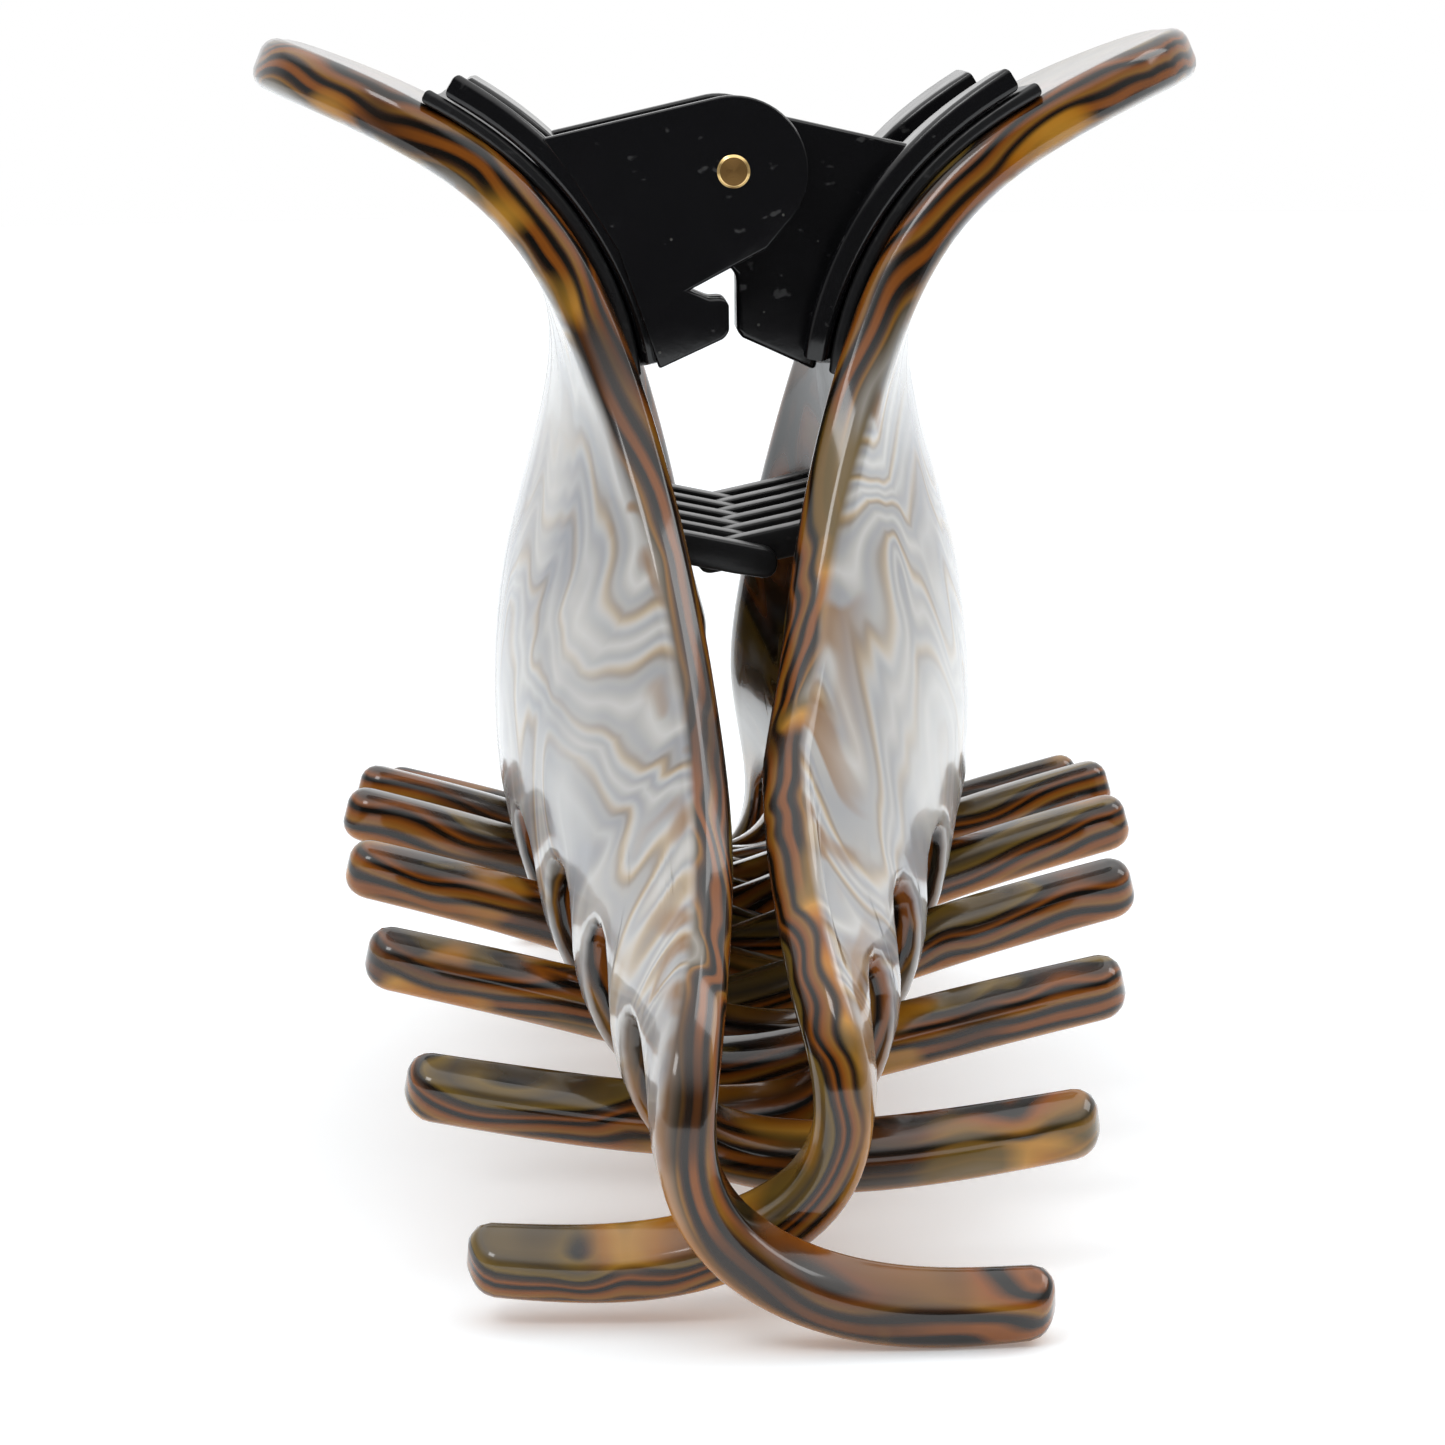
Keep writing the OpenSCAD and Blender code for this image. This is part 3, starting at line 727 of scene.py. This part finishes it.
comb_parts = [strip] + [comb_tooth(comb_start + k * comb_pitch) for k in range(comb_teeth)]
left_comb = piece_from("left_comb_moulding", *joined(comb_parts))
right_comb = piece_from("right_comb_moulding", *turned_round(joined(comb_parts)))
comb_black = black_moulding("comb_black", (0.013, 0.013, 0.014), 0.22, 0.4, 0.5)
for comb, side in ((left_comb, "left"), (right_comb, "right")):
    sharpen(comb)
    comb.data.materials.append(comb_black)
    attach(comb, side + "_half")
    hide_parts(side + "_grip_comb")


# ---- hinge pin -----------------------------------------------------------------------
# Turned brass, 2.5 mm across, pressed through the left bracket's ears with a bright
# chamfer at each end and a duller sawn face.

pin_r, pin_chamfer, pin_half = 1.25, 0.5, bracket_half + 0.15


def lathed(profile, turns):
    """A profile of (radius, y) turned about the pin's axis."""
    points, faces = [], []
    for r, y in profile:
        for n in range(turns):
            a = 2 * math.pi * n / turns
            points.append((r * math.cos(a), y, pin_z + r * math.sin(a)))
    for m in range(len(profile) - 1):
        for n in range(turns):
            b = (n + 1) % turns
            faces.append((m * turns + n, m * turns + b, (m + 1) * turns + b, (m + 1) * turns + n))
    faces.append(tuple(reversed(range(turns))))
    faces.append(tuple((len(profile) - 1) * turns + n for n in range(turns)))
    return points, faces


pin_end = [(pin_r - pin_chamfer - 0.04, -pin_half), (pin_r - pin_chamfer + 0.02, -pin_half + 0.02),
           (pin_r - 0.04, -pin_half + pin_chamfer - 0.06), (pin_r, -pin_half + pin_chamfer + 0.03)]
pin_profile = pin_end + [(r, -y) for r, y in reversed(pin_end)]
pin = piece_from("hinge_pin_brass", *lathed(pin_profile, 64))
sharpen(pin, 30)


def turned_brass():
    material, tree, shader = new_material("pin_brass")
    place = at_rest_place(tree)
    split = tree.nodes.new("ShaderNodeSeparateXYZ")
    tree.links.new(place, split.inputs[0])
    up = maths(tree, "SUBTRACT", split.outputs["Z"], pin_z * MM)
    radius = maths(tree, "SQRT", maths(tree, "ADD", maths(tree, "MULTIPLY", split.outputs["X"],
                                                            split.outputs["X"]),
                                       maths(tree, "MULTIPLY", up, up)))
    sawn = maths(tree, "LESS_THAN", radius, (pin_r - pin_chamfer + 0.01) * MM)
    tree.links.new(blend_colour(tree, sawn, (0.86, 0.60, 0.26), (0.30, 0.17, 0.06)),
                   shader.inputs["Base Color"])
    patina = noise(tree, place, 2600, 3)
    rough = maths(tree, "MULTIPLY_ADD", patina, 0.15, 0.12)
    tree.links.new(maths(tree, "MULTIPLY_ADD", sawn, 0.28, rough), shader.inputs["Roughness"])
    shader.inputs["Metallic"].default_value = 1.0
    rings = maths(tree, "SINE", maths(tree, "MULTIPLY", radius, 70000))
    bump(tree, shader, maths(tree, "ADD", maths(tree, "MULTIPLY", rings, 0.3), patina), 0.5,
         0.02 * MM)
    return material


pin.data.materials.append(turned_brass())
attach(pin, "left_half")
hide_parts("hinge_pin")


# ---- torsion spring ------------------------------------------------------------------
# Drawn steel wire coiled round the pin between the ears. One leg presses on each bracket;
# the right leg is a piece of its own because it swings with the right jaw.

wire_d, coil_turns = 0.9, 8
coil_r = pin_r + 1.2
coil_step = wire_d + 0.15
coil_half = coil_turns * coil_step / 2


def coil_point(degrees, y):
    a = math.radians(degrees)
    return (coil_r * math.cos(a), y, pin_z + coil_r * math.sin(a))


def bent_wire(path, sides=14):
    """A round wire swept along a path, with closed ends."""
    path = np.array(path, float)
    heading = np.vstack([path[1] - path[0], path[2:] - path[:-2], path[-1] - path[-2]])
    heading /= np.linalg.norm(heading, axis=1, keepdims=True)
    u = np.cross(heading, [0, 1, 0.02])
    u /= np.linalg.norm(u, axis=1, keepdims=True)
    v = np.cross(heading, u)
    points, faces = [], []
    for p, a, b in zip(path, u, v):
        for n in range(sides):
            turn = 2 * math.pi * n / sides
            points.append(p + wire_d / 2 * (math.cos(turn) * a + math.sin(turn) * b))
    for i in range(len(path) - 1):
        for n in range(sides):
            m = (n + 1) % sides
            faces.append((i * sides + n, (i + 1) * sides + n, (i + 1) * sides + m, i * sides + m))
    faces.append(tuple(range(sides)))
    faces.append(tuple((len(path) - 1) * sides + n for n in reversed(range(sides))))
    return points, faces


coil = [coil_point(100 - n * 10, -coil_half + n * coil_step / 36)
        for n in range(coil_turns * 36 + 1)]          # a point every 10 degrees
spring = piece_from("spring_coil", *bent_wire([(-8.3, -coil_half, pin_z + 0.9)] + coil))
leg_y = coil_half + coil_step
leg_turn = [coil_point(155 - a, leg_y) for a in range(0, 76, 8)]
moving_leg = piece_from("spring_leg", *bent_wire(leg_turn + [(8.3, leg_y, pin_z + 0.9)]))


def drawn_wire():
    material, tree, shader = new_material("spring_steel")
    place = at_rest_place(tree)
    tone = noise(tree, place, 900, 3)
    tree.links.new(ramp(tree, tone, [(0.3, (0.36, 0.36, 0.37)), (0.7, (0.62, 0.62, 0.63))]),
                   shader.inputs["Base Color"])
    tree.links.new(maths(tree, "MULTIPLY_ADD", tone, 0.25, 0.15), shader.inputs["Roughness"])
    shader.inputs["Metallic"].default_value = 1.0
    return material


spring_steel = drawn_wire()
for part, body, node in ((spring, "left_half", "torsion_spring"),
                         (moving_leg, "right_half", "spring_moving_leg")):
    sharpen(part, 50)
    part.data.materials.append(spring_steel)
    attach(part, body)
    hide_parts(node)


# ---- floor and light -----------------------------------------------------------------
# A round pale matt table under a big overhead diffuser, with bright screens behind and
# beside the clip. The clip stands near the table's front, and the room before it is dim.

table_r, table_y = 0.85, 0.70


def pale_table():
    floor_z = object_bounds()[0][2]
    turns = 96
    points, faces = [(0, table_y, floor_z)], []
    for r in (0.05, 0.15, 0.4, table_r):
        points += [(r * math.cos(2 * math.pi * n / turns),
                    table_y + r * math.sin(2 * math.pi * n / turns), floor_z) for n in range(turns)]
    faces += [(0, 1 + n, 1 + (n + 1) % turns) for n in range(turns)]
    for m in range(3):
        a, b = 1 + m * turns, 1 + (m + 1) * turns
        faces += [(a + n, b + n, b + (n + 1) % turns, a + (n + 1) % turns) for n in range(turns)]
    return piece_from("pale_table", np.array(points) / MM, faces)


table = pale_table()
material, tree, shader = new_material("pale_table")
place = at_rest_place(tree)
tree.links.new(ramp(tree, noise(tree, place, 9, 2), [(0.3, (0.89, 0.925, 0.95)),
                                                     (0.7, (0.91, 0.945, 0.97))]),
               shader.inputs["Base Color"])
shader.inputs["Roughness"].default_value = 0.8
shader.inputs["Emission Color"].default_value = (1, 1, 1, 1)
shader.inputs["Emission Strength"].default_value = 0.16
table.data.materials.append(material)
table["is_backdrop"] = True


def softbox(name, place, target, size, watts):
    lamp = bpy.data.lights.new(name, "AREA")
    lamp.shape = "RECTANGLE"
    lamp.size, lamp.size_y = size
    lamp.energy = watts
    made = bpy.data.objects.new(name, lamp)
    made.location = place
    made.rotation_euler = (Vector(target) - Vector(place)).to_track_quat("-Z", "Y").to_euler()
    bpy.context.scene.collection.objects.link(made)


middle = (0, 0, 0.035)
softbox("key_box", (-0.30, -0.42, 0.62), middle, (0.22, 0.22), 0.9)
softbox("rim_box", (0.45, 0.10, 0.42), middle, (0.20, 0.30), 0.5)


def studio_room():
    """Brightness by direction, and plain white where the camera looks past the table."""
    world = bpy.data.worlds.new("studio")
    world.use_nodes = True
    tree = world.node_tree
    background = tree.nodes["Background"]
    background.inputs["Color"].default_value = (1, 1, 1, 1)
    split = tree.nodes.new("ShaderNodeSeparateXYZ")
    tree.links.new(tree.nodes.new("ShaderNodeTexCoord").outputs["Generated"], split.inputs[0])

    def screen(value, start, stop, strength):
        node = tree.nodes.new("ShaderNodeMapRange")
        node.interpolation_type = "SMOOTHSTEP"
        node.inputs["From Min"].default_value = start
        node.inputs["From Max"].default_value = stop
        node.inputs["To Max"].default_value = strength
        tree.links.new(value, node.inputs["Value"])
        return node.outputs["Result"]

    overhead = screen(split.outputs["Z"], 0.30, 0.85, 1.45)
    behind = screen(split.outputs["Y"], -0.1, 0.8, 0.95)
    beside = screen(maths(tree, "ABSOLUTE", split.outputs["X"]), 0.6, 0.95, 0.35)
    glow = maths(tree, "ADD", maths(tree, "MAXIMUM", overhead, maths(tree, "MAXIMUM", behind, beside)),
                 0.05)
    seen = tree.nodes.new("ShaderNodeLightPath").outputs["Is Camera Ray"]
    tree.links.new(maths(tree, "MAXIMUM", glow, seen), background.inputs["Strength"])
    bpy.context.scene.world = world


studio_room()
bpy.context.scene.view_settings.view_transform = "Standard"
